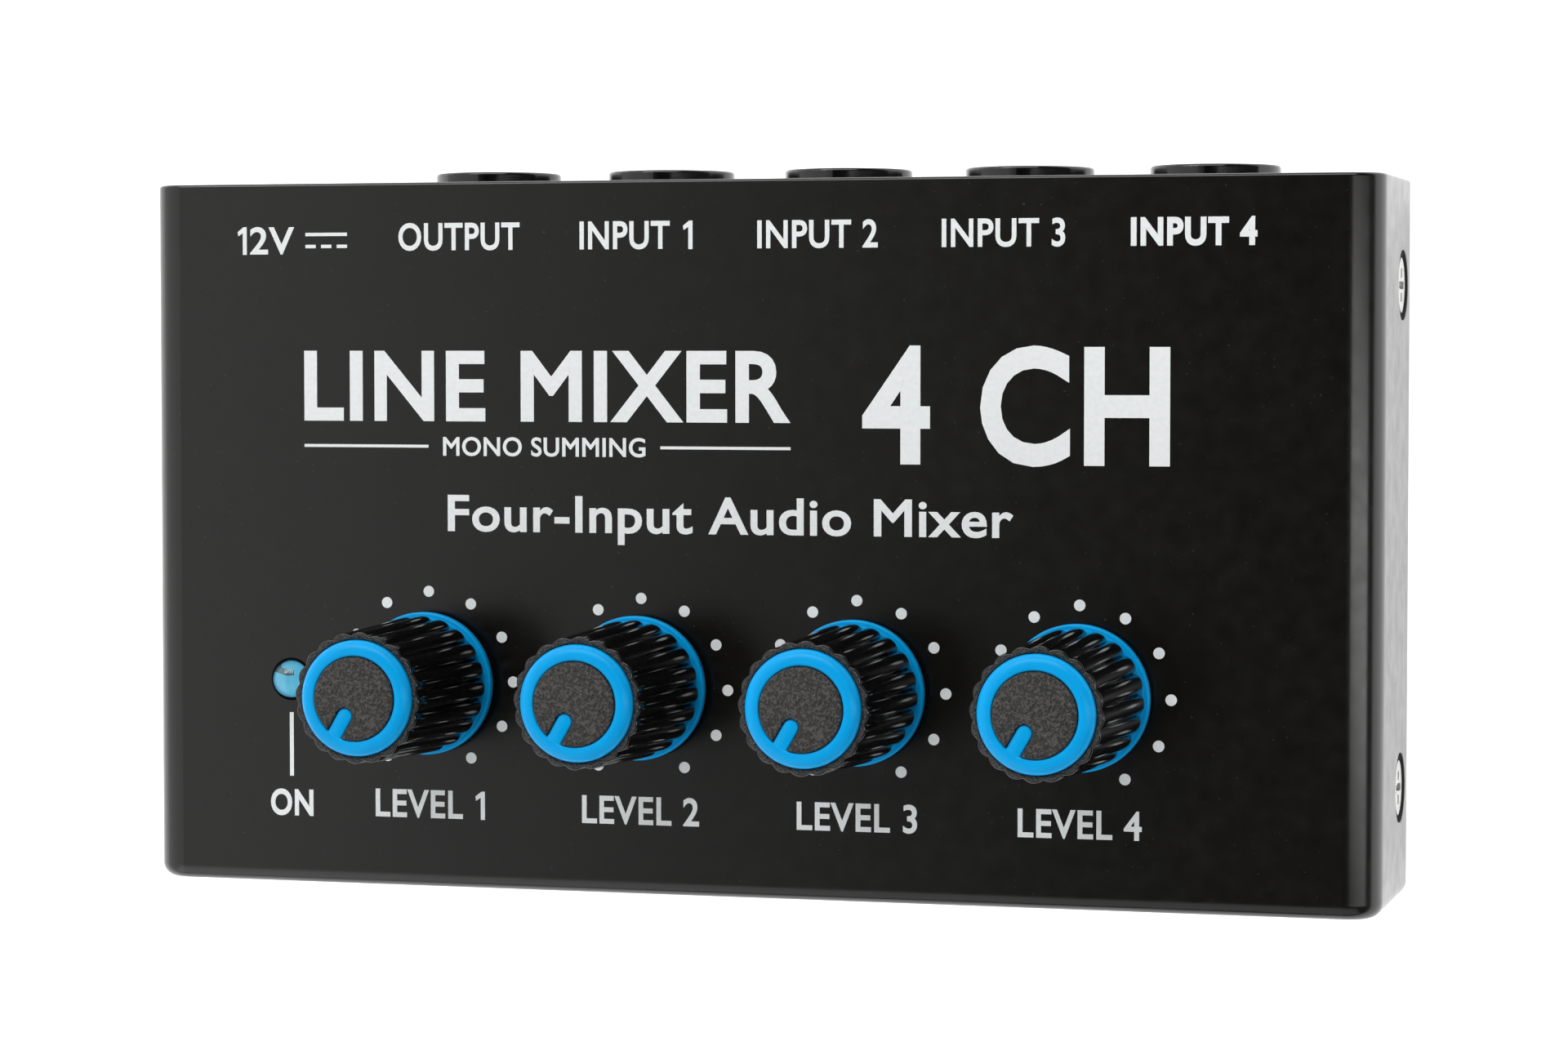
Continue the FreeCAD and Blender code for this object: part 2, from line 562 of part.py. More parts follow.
def lobed_outline(tip_radius, z):
    """A closed outline of outward arcs that meet in narrow grooves."""
    valley_radius = tip_radius - GRIP_GROOVE_DEPTH
    step = 2 * math.pi / GRIP_LOBES
    arcs = []
    for i in range(GRIP_LOBES):
        start, middle, end = (i * step, (i + 0.5) * step, (i + 1) * step)
        points = [V(radius * math.cos(angle), radius * math.sin(angle), z)
                  for radius, angle in ((valley_radius, start), (tip_radius, middle), (valley_radius, end))]
        arcs.append(Part.Arc(*points).toShape())
    return Part.Wire(arcs)


def make_knob_grip(x):
    """Fluted outer sleeve, slightly narrower at the top, open for the core's ring and stem."""
    low, high = PANEL_Z + KNOB_FLANGE_TOP, PANEL_Z + KNOB_RING_HEIGHT
    sleeve = Part.makeLoft([lobed_outline(GRIP_BASE_RADIUS, low), lobed_outline(GRIP_TOP_RADIUS, high)],
                           True, True)
    stem_hole = rod(V(0, 0, low - 1), Z_AXIS, KNOB_STEM_RADIUS, high - low + 2)
    ring_hole = rod(V(0, 0, high - RING_DEPTH), Z_AXIS, RING_OUTER_RADIUS, RING_DEPTH + 1)
    return at_low_end(sleeve.cut([stem_hole, ring_hole]), x)


def pointer_block(half_width, low, high):
    """The pointer bar from its round inner end out to the ring."""
    bar = block(-half_width, half_width, POINTER_INNER_RADIUS, RING_INNER_RADIUS + 0.3, low, high)
    end = rod(V(0, POINTER_INNER_RADIUS, low), Z_AXIS, half_width, high - low)
    return bar.fuse(end)


def make_knob_core(x):
    """Coloured core: flange at the panel, stem round the shaft, and the ring and pointer on top."""
    ring_base = PANEL_Z + KNOB_RING_HEIGHT - RING_DEPTH
    seat = PANEL_Z + KNOB_CAP_HEIGHT - CAP_DEPTH
    rim_top = PANEL_Z + KNOB_CAP_HEIGHT - 0.15
    profile = [(0, PANEL_Z + KNOB_GAP), (KNOB_FLANGE_RADIUS - 0.25, PANEL_Z + KNOB_GAP),
               (KNOB_FLANGE_RADIUS, PANEL_Z + KNOB_GAP + 0.25),
               (KNOB_FLANGE_RADIUS, PANEL_Z + KNOB_FLANGE_TOP - 0.25),
               (KNOB_FLANGE_RADIUS - 0.25, PANEL_Z + KNOB_FLANGE_TOP),
               (KNOB_STEM_RADIUS, PANEL_Z + KNOB_FLANGE_TOP), (KNOB_STEM_RADIUS, ring_base),
               (RING_OUTER_RADIUS, ring_base), (RING_OUTER_RADIUS, PANEL_Z + KNOB_RING_HEIGHT),
               (RING_OUTER_RADIUS - 0.4, PANEL_Z + KNOB_RING_HEIGHT + 0.55),
               (RING_INNER_RADIUS + 0.35, rim_top), (RING_INNER_RADIUS, rim_top),
               (RING_INNER_RADIUS, seat), (0, seat)]
    core = turned(profile)
    shaft_socket = d_bar(SHAFT_RADIUS, PANEL_Z, PANEL_Z + SHAFT_TOP + 0.2, PANEL_Z + KNOB_FLANGE_TOP)
    core = core.cut(shaft_socket).fuse(pointer_block(POINTER_HALF_WIDTH, seat, rim_top)).removeSplitter()
    return at_low_end(core, x)


def make_knob_cap(x):
    """Dark disc set in the ring, slotted for the pointer."""
    low, high = PANEL_Z + KNOB_CAP_HEIGHT - CAP_DEPTH, PANEL_Z + KNOB_CAP_HEIGHT
    disc = rod(V(0, 0, low), Z_AXIS, RING_INNER_RADIUS - CAP_SLOT_GAP, high - low)
    disc = round_edges(disc, 0.2, lambda e: lies_at(e.BoundBox.ZMin, high, 1e-3))
    return at_low_end(disc.cut(pointer_block(POINTER_HALF_WIDTH + CAP_SLOT_GAP, low - 1, high + 1)), x)


# ---------------------------------------------------------------- indicator lamp
LAMP_RIM_TOP = PANEL_Z - COVER_SHEET - 0.1
LAMP_BASE = LAMP_RIM_TOP - LAMP_RIM_HEIGHT


def make_lamp_lens():
    """Clear lamp body: a rim under the panel and a domed nose through it."""
    x, y = LAMP_X, ROW_Y
    rim = rod(V(x, y, LAMP_BASE), Z_AXIS, LAMP_RIM_RADIUS, LAMP_RIM_HEIGHT)
    nose_top = PANEL_Z + LAMP_PROUD
    nose = rod(V(x, y, LAMP_BASE), Z_AXIS, LAMP_RADIUS, nose_top - LAMP_RADIUS - LAMP_BASE)
    dome = Part.makeSphere(LAMP_RADIUS, V(x, y, nose_top - LAMP_RADIUS))
    return rim.fuse([nose, dome]).removeSplitter()


def make_lamp_leads():
    half = LAMP_LEAD_HALF
    leads = [block(LAMP_X + d - half, LAMP_X + d + half, ROW_Y - half, ROW_Y + half, BOARD_TOP, LAMP_BASE)
             for d in (-LEG_PITCH / 2, LEG_PITCH / 2)]
    return Part.makeCompound(leads)


def make_lamp_spacer():
    """Tube that holds the lamp at panel height, standing on the board round the leads."""
    return ring(V(LAMP_X, ROW_Y, BOARD_TOP), Z_AXIS, LAMP_RIM_RADIUS, 1.75, LAMP_BASE - BOARD_TOP)


# ---------------------------------------------------------------- all nodes
def main():
    os.makedirs("parts", exist_ok=True)
    export("top_cover", make_top_cover())
    export("base_plate", make_base_plate())
    export("rear_wall", make_rear_wall())
    export("side_flanges", make_side_flanges())
    export("case_screws", make_case_screws())
    export("rubber_feet", make_rubber_feet())
    export("circuit_board", make_circuit_board())
    export("board_standoffs", make_board_standoffs())
    export("board_screws", make_board_screws())
    export("amplifier_chips", make_amplifier_chips())
    export("voltage_regulator", make_voltage_regulator())
    export("filter_capacitors", make_filter_capacitors())
    export("chip_resistors", make_chip_resistors())
    for name, x in zip(JACK_NAMES, JACK_X):
        export("jack_body_" + name, make_jack_body(x))
        export("jack_nut_" + name, make_jack_nut(x))
        export("tip_spring_" + name, make_tip_spring(x))
    export("jack_washers", make_jack_washers())
    export("sleeve_contacts", make_sleeve_contacts())
    export("inlet_body", make_inlet_body())
    export("inlet_pin", make_inlet_pin())
    export("inlet_spring", make_inlet_spring())
    for i, x in enumerate(KNOB_X, start=1):
        suffix = "_" + str(i)
        export("pot_housing" + suffix, make_pot_housing(x))
        export("pot_shaft" + suffix, make_pot_shaft(x))
        export("pot_wiper" + suffix, make_pot_wiper(x))
        export("knob_grip" + suffix, make_knob_grip(x))
        export("knob_core" + suffix, make_knob_core(x))
        export("knob_cap" + suffix, make_knob_cap(x))
    export("lamp_lens", make_lamp_lens())
    export("lamp_leads", make_lamp_leads())
    export("lamp_spacer", make_lamp_spacer())


main()
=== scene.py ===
"""Looks of the four-channel line mixer: studio, finishes, panel print, knobs and lamp."""
import json
import math

import bpy
from mathutils import Matrix, Vector


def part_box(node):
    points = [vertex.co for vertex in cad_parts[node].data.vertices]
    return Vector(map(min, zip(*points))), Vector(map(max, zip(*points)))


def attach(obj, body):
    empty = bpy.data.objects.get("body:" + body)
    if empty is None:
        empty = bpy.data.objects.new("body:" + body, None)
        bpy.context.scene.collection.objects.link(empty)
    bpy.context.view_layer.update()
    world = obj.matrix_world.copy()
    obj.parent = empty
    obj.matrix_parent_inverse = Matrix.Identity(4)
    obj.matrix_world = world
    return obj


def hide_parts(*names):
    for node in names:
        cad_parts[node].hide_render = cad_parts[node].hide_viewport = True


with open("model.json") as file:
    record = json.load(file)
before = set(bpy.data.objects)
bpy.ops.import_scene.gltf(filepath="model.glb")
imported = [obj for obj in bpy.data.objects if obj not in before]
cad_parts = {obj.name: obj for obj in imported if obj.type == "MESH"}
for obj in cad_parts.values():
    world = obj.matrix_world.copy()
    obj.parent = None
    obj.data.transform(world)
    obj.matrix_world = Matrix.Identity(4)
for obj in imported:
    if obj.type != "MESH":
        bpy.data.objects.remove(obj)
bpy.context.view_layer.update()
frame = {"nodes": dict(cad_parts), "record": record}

MM = 0.001
CASE = "mixer_case"
KNOBS = 4
JACKS = ("output", "input_1", "input_2", "input_3", "input_4")

# ---------------------------------------------------------------- places, read from the frame
cover_low, cover_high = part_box("top_cover")
PANEL_Z = cover_high.z      # the panel's surface
MID_Y = (cover_low.y + cover_high.y) / 2


def middle(node):
    low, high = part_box(node)
    return (low + high) / 2


def on_panel(x, y, z=0.0):
    """A point in metres, from millimetres off the panel's centre and up from its surface."""
    return Vector((x * MM, MID_Y + y * MM, PANEL_Z + z * MM))


def panel_mm(point):
    """The panel position, in millimetres, of a point in the frame."""
    return point.x / MM, (point.y - MID_Y) / MM


JACK_X = [panel_mm(middle("jack_nut_" + name))[0] for name in JACKS]
KNOB_PLACES = [panel_mm(middle("pot_shaft_%d" % (i + 1))) for i in range(KNOBS)]
LAMP_X, LAMP_Y = panel_mm(middle("lamp_lens"))
LOW_END_TURN = math.radians(150)   # the pointer's turn from the rear at the low end


# ---------------------------------------------------------------- material helpers
def new_material(name, color, roughness, **sockets):
    """A material with one Principled shader; extra keyword names are its sockets."""
    material = bpy.data.materials.new(name)
    material.use_nodes = True
    shader = material.node_tree.nodes["Principled BSDF"]
    shader.inputs["Base Color"].default_value = (*color, 1.0)
    shader.inputs["Roughness"].default_value = roughness
    for socket, value in sockets.items():
        shader.inputs[socket.replace("_", " ")].default_value = value
    return material


def shader_of(material):
    return material.node_tree.nodes["Principled BSDF"]


def noise(material, feature_mm, detail=3.0, stretch=(1.0, 1.0, 1.0), seed=0.0):
    """A noise texture in object space whose blobs are about feature_mm across."""
    nodes, links = material.node_tree.nodes, material.node_tree.links
    coordinates = nodes.new("ShaderNodeTexCoord")
    mapping = nodes.new("ShaderNodeMapping")
    mapping.inputs["Scale"].default_value = stretch
    mapping.inputs["Location"].default_value = (seed, seed, seed)
    texture = nodes.new("ShaderNodeTexNoise")
    texture.inputs["Scale"].default_value = 1.0 / (feature_mm * MM)
    texture.inputs["Detail"].default_value = detail
    links.new(coordinates.outputs["Object"], mapping.inputs["Vector"])
    links.new(mapping.outputs["Vector"], texture.inputs["Vector"])
    return texture.outputs["Fac"]


def spread(material, source, low, high, from_low=0.3, from_high=0.7):
    """Map a texture's middle range to low..high."""
    node = material.node_tree.nodes.new("ShaderNodeMapRange")
    node.inputs["From Min"].default_value = from_low
    node.inputs["From Max"].default_value = from_high
    node.inputs["To Min"].default_value = low
    node.inputs["To Max"].default_value = high
    material.node_tree.links.new(source, node.inputs["Value"])
    return node.outputs["Result"]


def blend_color(material, factor, first, second):
    """Mix two colours, or a colour over an earlier mix, by a factor."""
    node = material.node_tree.nodes.new("ShaderNodeMix")
    node.data_type = "RGBA"
    material.node_tree.links.new(factor, node.inputs["Factor"])
    for socket, value in (("A", first), ("B", second)):
        inputs = [s for s in node.inputs if s.name == socket and s.type == "RGBA"]
        if isinstance(value, tuple):
            inputs[0].default_value = (*value, 1.0)
        else:
            material.node_tree.links.new(value, inputs[0])
    outputs = [s for s in node.outputs if s.type == "RGBA"]
    return outputs[0]


def use_color(material, color):
    material.node_tree.links.new(color, shader_of(material).inputs["Base Color"])


def use_roughness(material, value):
    material.node_tree.links.new(value, shader_of(material).inputs["Roughness"])


def add_bump(material, height, strength, depth_mm):
    """Add a bump layer; a second call stacks on the first."""
    nodes, links = material.node_tree.nodes, material.node_tree.links
    bump = nodes.new("ShaderNodeBump")
    bump.inputs["Strength"].default_value = strength
    bump.inputs["Distance"].default_value = depth_mm * MM
    links.new(height, bump.inputs["Height"])
    normal = shader_of(material).inputs["Normal"]
    if normal.is_linked:
        links.new(normal.links[0].from_socket, bump.inputs["Normal"])
    links.new(bump.outputs["Normal"], normal)


def plain_finish(name, dark, light, rough, grain_mm=0.4, bump=0.1, depth_mm=0.02, **sockets):
    """A moulded or coated finish: two close shades, uneven gloss and a fine grain."""
    material = new_material(name, dark, rough[0], **sockets)
    clouds = noise(material, grain_mm * 12, 4.0, seed=1.7)
    use_color(material, blend_color(material, spread(material, clouds, 0.0, 1.0), dark, light))
    use_roughness(material, spread(material, noise(material, grain_mm * 4, 3.0, seed=5.1), *rough))
    add_bump(material, noise(material, grain_mm, 2.0), bump, depth_mm)
    return material


# ---------------------------------------------------------------- finishes
def cover_paint():
    """Satin black coat, very finely textured, with a few dust specks."""
    material = new_material("cover_paint", (0.0027, 0.0023, 0.0016), 0.22)
    clouds = spread(material, noise(material, 6.0, 4.0, seed=2.3), 0.0, 1.0)
    shade = blend_color(material, clouds, (0.0022, 0.0019, 0.0013), (0.0032, 0.0027, 0.0020))
    specks = spread(material, noise(material, 0.35, 1.0, seed=8.2), 0.0, 0.35, 0.74, 0.79)
    use_color(material, blend_color(material, specks, shade, (0.07, 0.068, 0.06)))
    use_roughness(material, spread(material, noise(material, 2.2, 4.0), 0.19, 0.25))
    add_bump(material, noise(material, 0.25, 3.0, seed=4.0), 0.12, 0.006)
    return material


def grip_gloss():
    """Glossy black moulding with slight flow marks."""
    material = new_material("grip_gloss", (0.0025, 0.0025, 0.0027), 0.12)
    use_roughness(material, spread(material, noise(material, 1.2, 3.0), 0.08, 0.15))
    add_bump(material, noise(material, 2.5, 1.0), 0.03, 0.02)
    return material


def grained_dark(name, dark, light):
    """Dark moulding with a coarse spark-eroded grain."""
    material = new_material(name, dark, 0.45)
    grain = noise(material, 0.26, 2.0)
    share = spread(material, grain, 0.0, 1.0, 0.47, 0.60)
    use_color(material, blend_color(material, share, dark, light))
    use_roughness(material, spread(material, noise(material, 0.4, 2.0, seed=3.0), 0.32, 0.5))
    add_bump(material, grain, 1.0, 0.3)
    return material


def azure_plastic():
    """Bright azure moulding, soft gloss, very slightly uneven."""
    material = new_material("azure_plastic", (0.0, 0.36, 0.80), 0.34, Specular_IOR_Level=0.14)
    clouds = spread(material, noise(material, 3.5, 3.0, seed=6.0), 0.0, 1.0)
    use_color(material, blend_color(material, clouds, (0.0, 0.315, 0.70), (0.0, 0.355, 0.77)))
    use_roughness(material, spread(material, noise(material, 0.9, 3.0), 0.28, 0.38))
    add_bump(material, noise(material, 1.5, 1.0), 0.04, 0.02)
    return material


def white_ink():
    """Screen-printed white, a little thin in places."""
    material = new_material("white_ink", (0.76, 0.78, 0.78), 0.5)
    thin = spread(material, noise(material, 0.5, 4.0, seed=9.0), 0.0, 1.0)
    use_color(material, blend_color(material, thin, (0.72, 0.745, 0.745), (0.79, 0.81, 0.81)))
    add_bump(material, noise(material, 0.12, 2.0), 0.2, 0.01)
    return material


def lamp_resin():
    """Pale blue clear resin, a little hazy; its colour is darkened where the dome is seen edge-on,
    as painted shade at the rim.
    """
    material = new_material("lamp_resin", (0.38, 0.82, 0.95), 0.05, IOR=1.5,
                            Transmission_Weight=0.8)
    haze = spread(material, noise(material, 1.5, 2.0), 0.0, 1.0)
    shade = blend_color(material, haze, (0.34, 0.80, 0.94), (0.48, 0.87, 0.96))
    # Painted shade: the base colour turns dark teal towards the dome's rim, where it is seen
    # edge-on.
    weight = material.node_tree.nodes.new("ShaderNodeLayerWeight")
    edge = spread(material, weight.outputs["Facing"], 0.0, 1.0, 0.25, 0.85)
    use_color(material, blend_color(material, edge, shade, (0.03, 0.27, 0.42)))
    use_roughness(material, spread(material, noise(material, 0.9, 2.0, seed=2.0), 0.02, 0.06))
    return material


def brushed_metal(name, dark, light, rough, metallic=1.0):
    """Plated or turned metal with fine scratches; metallic under 1 makes it paler and softer."""
    material = new_material(name, light, rough[0], Metallic=metallic)
    lines = noise(material, 0.5, 3.0, stretch=(1, 1, 9))
    use_color(material, blend_color(material, spread(material, lines, 0.0, 1.0), dark, light))
    use_roughness(material, spread(material, noise(material, 0.35, 3.0, seed=4.4), *rough))
    add_bump(material, lines, 0.12, 0.01)
    return material


def board_mask():
    """Green solder mask, raised and lighter where there is copper under it."""
    material = new_material("board_mask", (0.01, 0.11, 0.04), 0.35)
    traces = noise(material, 2.0, 0.0, stretch=(1.0, 0.3, 1.0))
    copper = spread(material, traces, 0.0, 1.0, 0.5, 0.53)
    use_color(material, blend_color(material, copper, (0.008, 0.09, 0.035), (0.02, 0.17, 0.06)))
    add_bump(material, copper, 0.3, 0.03)
    use_roughness(material, spread(material, noise(material, 1.0), 0.28, 0.42))
    return material


def gray(level):
    return level, level, level


def make_finishes():
    """One material for each material slot of the record, and a black for shadowed gaps."""
    dark_moulding = (gray(0.008), (0.014, 0.014, 0.0135))
    return {
        "cover_paint": cover_paint(),
        "chassis_paint": plain_finish("chassis_paint", (0.006, 0.006, 0.0058),
                                      (0.010, 0.010, 0.0095), (0.38, 0.5), 0.25, 0.25),
        "screw_steel": brushed_metal("screw_steel", (0.50, 0.50, 0.49), (0.66, 0.66, 0.64),
                                     (0.25, 0.40)),
        "foot_rubber": plain_finish("foot_rubber", gray(0.010), gray(0.018), (0.7, 0.9),
                                    0.2, 0.4, 0.04),
        "board_laminate": board_mask(),
        "inner_steel": brushed_metal("inner_steel", (0.45, 0.45, 0.44), (0.62, 0.62, 0.61),
                                     (0.25, 0.45)),
        "chip_plastic": plain_finish("chip_plastic", *dark_moulding, (0.5, 0.65), 0.15, 0.3),
        "capacitor_can": plain_finish("capacitor_can", (0.01, 0.015, 0.05), (0.02, 0.025, 0.07),
                                      (0.25, 0.4)),
        "resistor_body": plain_finish("resistor_body", gray(0.01), gray(0.03), (0.3, 0.5)),
        "jack_plastic": plain_finish("jack_plastic", *dark_moulding, (0.4, 0.55), 0.2, 0.25),
        "nut_plastic": plain_finish("nut_plastic", gray(0.002), gray(0.004), (0.10, 0.18),
                                    0.5, 0.06),
        "contact_spring": brushed_metal("contact_spring", (0.55, 0.45, 0.22),
                                        (0.78, 0.66, 0.36), (0.2, 0.35)),
        "washer_nickel": brushed_metal("washer_nickel", (0.80, 0.80, 0.78), (0.92, 0.92, 0.90),
                                       (0.45, 0.6), metallic=0.5),
        "pin_nickel": brushed_metal("pin_nickel", (0.58, 0.58, 0.56), (0.78, 0.78, 0.75),
                                    (0.15, 0.28)),
        "pot_housing": plain_finish("pot_housing", *dark_moulding, (0.45, 0.6)),
        "shaft_metal": brushed_metal("shaft_metal", gray(0.5), (0.7, 0.7, 0.69), (0.25, 0.4)),
        "grip_plastic": grip_gloss(),
        "core_plastic": azure_plastic(),
        "cap_plastic": grained_dark("cap_grain", (0.003, 0.0025, 0.002), (0.050, 0.046, 0.040)),
        "lamp_clear": lamp_resin(),
        "shadow_black": plain_finish("shadow_black", gray(0.0006), gray(0.001), (0.8, 0.95), 0.3,
                                     Specular_IOR_Level=0.1),
    }


finishes = make_finishes()


def finish_cad_nodes():
    """Give each CAD node the finish of its material slot."""
    for part in frame["record"]["subparts"]:
        node = frame["nodes"][part["node"]]
        node.data.materials.clear()
        node.data.materials.append(finishes[part["material_slot"]])


# ---------------------------------------------------------------- mesh helpers
def add_piece(name, mesh, body, materials, matrix=None):
    """Link a mesh as a piece that rides on a body."""
    piece = bpy.data.objects.new(name, mesh)
    bpy.context.scene.collection.objects.link(piece)
    if not mesh.materials:
        for material in materials:
            mesh.materials.append(material)
    if matrix is not None:
        piece.matrix_world = matrix
    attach(piece, body)
    return piece


def mesh_from(name, points, faces, sharp_deg=40.0):
    """A smooth-shaded mesh, in metres, from points in millimetres."""
    mesh = bpy.data.meshes.new(name)
    mesh.from_pydata([tuple(c * MM for c in p) for p in points], [], faces)
    mesh.validate()
    mesh.shade_smooth()
    mesh.set_sharp_from_angle(angle=math.radians(sharp_deg))
    return mesh


def arc(centre_r, centre_z, radius_r, radius_z, start_deg, end_deg, steps):
    """Profile points (r, z) along an elliptical arc."""
    points = []
    for i in range(steps + 1):
        angle = math.radians(start_deg + (end_deg - start_deg) * i / steps)
        points.append((centre_r + radius_r * math.cos(angle),
                       centre_z + radius_z * math.sin(angle)))
    return points


def turned_mesh(name, profile, segments=96):
    """A body turned round Z from a profile that starts and ends on the axis."""
    inner = profile[1:-1]
    points = [(0, 0, profile[0][1])]
    for r, z in inner:
        for i in range(segments):
            angle = 2 * math.pi * i / segments
            points.append((r * math.cos(angle), r * math.sin(angle), z))
    points.append((0, 0, profile[-1][1]))
    last = len(points) - 1
    faces = []
    for i in range(segments):
        j = (i + 1) % segments
        faces.append((0, 1 + j, 1 + i))
        for row in range(len(inner) - 1):
            low, high = 1 + row * segments, 1 + (row + 1) * segments
            faces.append((low + i, low + j, high + j, high + i))
        top = 1 + (len(inner) - 1) * segments
        faces.append((last, top + i, top + j))
    return mesh_from(name, points, faces)


def stacked_mesh(name, outlines, closed_ring=False, sharp_deg=40.0):
    """Join outlines of equal length; the ends are capped, or the last joins the first."""
    count = len(outlines[0])
    points = [p for outline in outlines for p in outline]
    faces = []
    rows = len(outlines) if closed_ring else len(outlines) - 1
    for row in range(rows):
        low, high = row * count, ((row + 1) % len(outlines)) * count
        for i in range(count):
            j = (i + 1) % count
            faces.append((low + i, low + j, high + j, high + i))
    if not closed_ring:
        faces.append(tuple(reversed(range(count))))
        faces.append(tuple(range(len(points) - count, len(points))))
    return mesh_from(name, points, faces, sharp_deg)


def ring_mesh(name, section, segments=64):
    """A ring round Z with a closed section of (r, z) points."""
    turns = []
    for r, z in section:
        angles = [2 * math.pi * k / segments for k in range(segments)]
        turns.append([(r * math.cos(a), r * math.sin(a), z) for a in angles])
    return stacked_mesh(name, turns, closed_ring=True)


# ---------------------------------------------------------------- knobs
# Millimetres; a HIGH or LOW is a height above the panel
FLANGE_LOW = 1.0
FLANGE_HIGH = 2.2
FLANGE_RADIUS = 7.4
FLANGE_LIP = 0.5       # from the flange's edge in to its step
FLANGE_STEP = 0.22
GRIP_HIGH = 20.6
GRIP_BASE = 7.12       # radius over the ribs at the flange
GRIP_TOP = 6.58        # and at the rim
LOBES = 20
STEPS_PER_LOBE = 18
AROUND = LOBES * STEPS_PER_LOBE
GROOVE_BASE = 0.75
GROOVE_TOP = 0.32
RIB_BASE = 0.94        # a rib's width over the pitch
RIB_TOP = 1.0
RIB_POWER = 2.6        # 2 is a round rib, more is a flatter one
LOBE_END = 1.1         # height of a rib's round end
END_ROWS = 12
STRAIGHT_ROWS = 8
BEVEL_ROWS = 6
RIM_BEVEL = 0.14
RING_OUTER = 5.8
RING_INNER = 4.22
RING_SEAT = 2.4        # the rim down to the shelf that the ring rests on
CAP_HIGH = 21.7
CAP_LOW = 20.1
STEM_RADIUS = 4.6
FIT_GAP = 0.02         # between pieces of a knob that touch
SOCKET_RADIUS = 3.02
SOCKET_HIGH = 17.2
CORE_SEGMENTS = 128
POINTER_HALF = 0.8
POINTER_INNER = 2.0
POINTER_HIGH = CAP_HIGH - 0.22
POINTER_OUTER = RING_INNER + 0.35
SLOT_STEPS = 12
POINTER_STEPS = 16


def grip_outline(z, inset=0.0):
    """The fluted outline at height z: broad ribs with round ends at the flange."""
    share = (z - FLANGE_HIGH) / (GRIP_HIGH - FLANGE_HIGH)
    tip = GRIP_BASE + (GRIP_TOP - GRIP_BASE) * share
    groove = GROOVE_BASE + (GROOVE_TOP - GROOVE_BASE) * share
    from_end = min(1.0, (z - FLANGE_HIGH) / LOBE_END)
    end = (1.0 - (1.0 - from_end) ** RIB_POWER) ** (1.0 / RIB_POWER)
    width = (RIB_BASE + (RIB_TOP - RIB_BASE) * share) * end
    outline = []
    for i in range(AROUND):
        across = 2.0 * abs((i / STEPS_PER_LOBE) % 1.0 - 0.5)
        rise = 0.0
        if across < width:
            broad = (1.0 - (across / width) ** RIB_POWER) ** (1.0 / RIB_POWER)
            soft = math.cos(math.pi / 2 * across / width)
            rise = end * (broad + (soft - broad) * share)
        radius = tip - groove * (1.0 - rise) - inset
        angle = 2 * math.pi * i / AROUND
        outline.append((radius * math.cos(angle), radius * math.sin(angle), z))
    return outline


def round_outline(radius, z):
    """A circle with as many points as the fluted outline."""
    angles = [2 * math.pi * i / AROUND for i in range(AROUND)]
    return [(radius * math.cos(a), radius * math.sin(a), z) for a in angles]


def grip_mesh():
    """Fluted sleeve with a flat grained rim, hollow for the core."""
    rows = []
    for i in range(END_ROWS + 1):
        rise = 1 - math.cos(math.pi / 2 * i / END_ROWS)
        rows.append(grip_outline(FLANGE_HIGH + LOBE_END * rise))
    straight = GRIP_HIGH - RIM_BEVEL - FLANGE_HIGH - LOBE_END
    for i in range(1, STRAIGHT_ROWS + 1):
        rows.append(grip_outline(FLANGE_HIGH + LOBE_END + straight * i / STRAIGHT_ROWS))
    for i in range(1, BEVEL_ROWS + 1):
        angle = math.pi / 2 * i / BEVEL_ROWS
        rows.append(grip_outline(GRIP_HIGH - RIM_BEVEL * (1 - math.sin(angle)),
                                 RIM_BEVEL * (1 - math.cos(angle))))
    rim_row = len(rows) - 1
    rows.append(round_outline(RING_OUTER + 0.16, GRIP_HIGH))
    rows.append(round_outline(RING_OUTER + 0.06, GRIP_HIGH - 0.08))
    rows.append(round_outline(RING_OUTER + 0.06, GRIP_HIGH - RING_SEAT))
    rows.append(round_outline(STEM_RADIUS + FIT_GAP, GRIP_HIGH - RING_SEAT))
    rows.append(round_outline(STEM_RADIUS + FIT_GAP, FLANGE_HIGH))
    mesh = stacked_mesh("fluted_grip", rows, closed_ring=True, sharp_deg=50.0)
    mesh.materials.append(finishes["grip_plastic"])
    mesh.materials.append(grained_dark("rim_grain", (0.012, 0.011, 0.0095), (0.032, 0.030, 0.027)))
    for face in mesh.polygons[rim_row * AROUND:(rim_row + 2) * AROUND]:
        face.material_index = 1
    return mesh


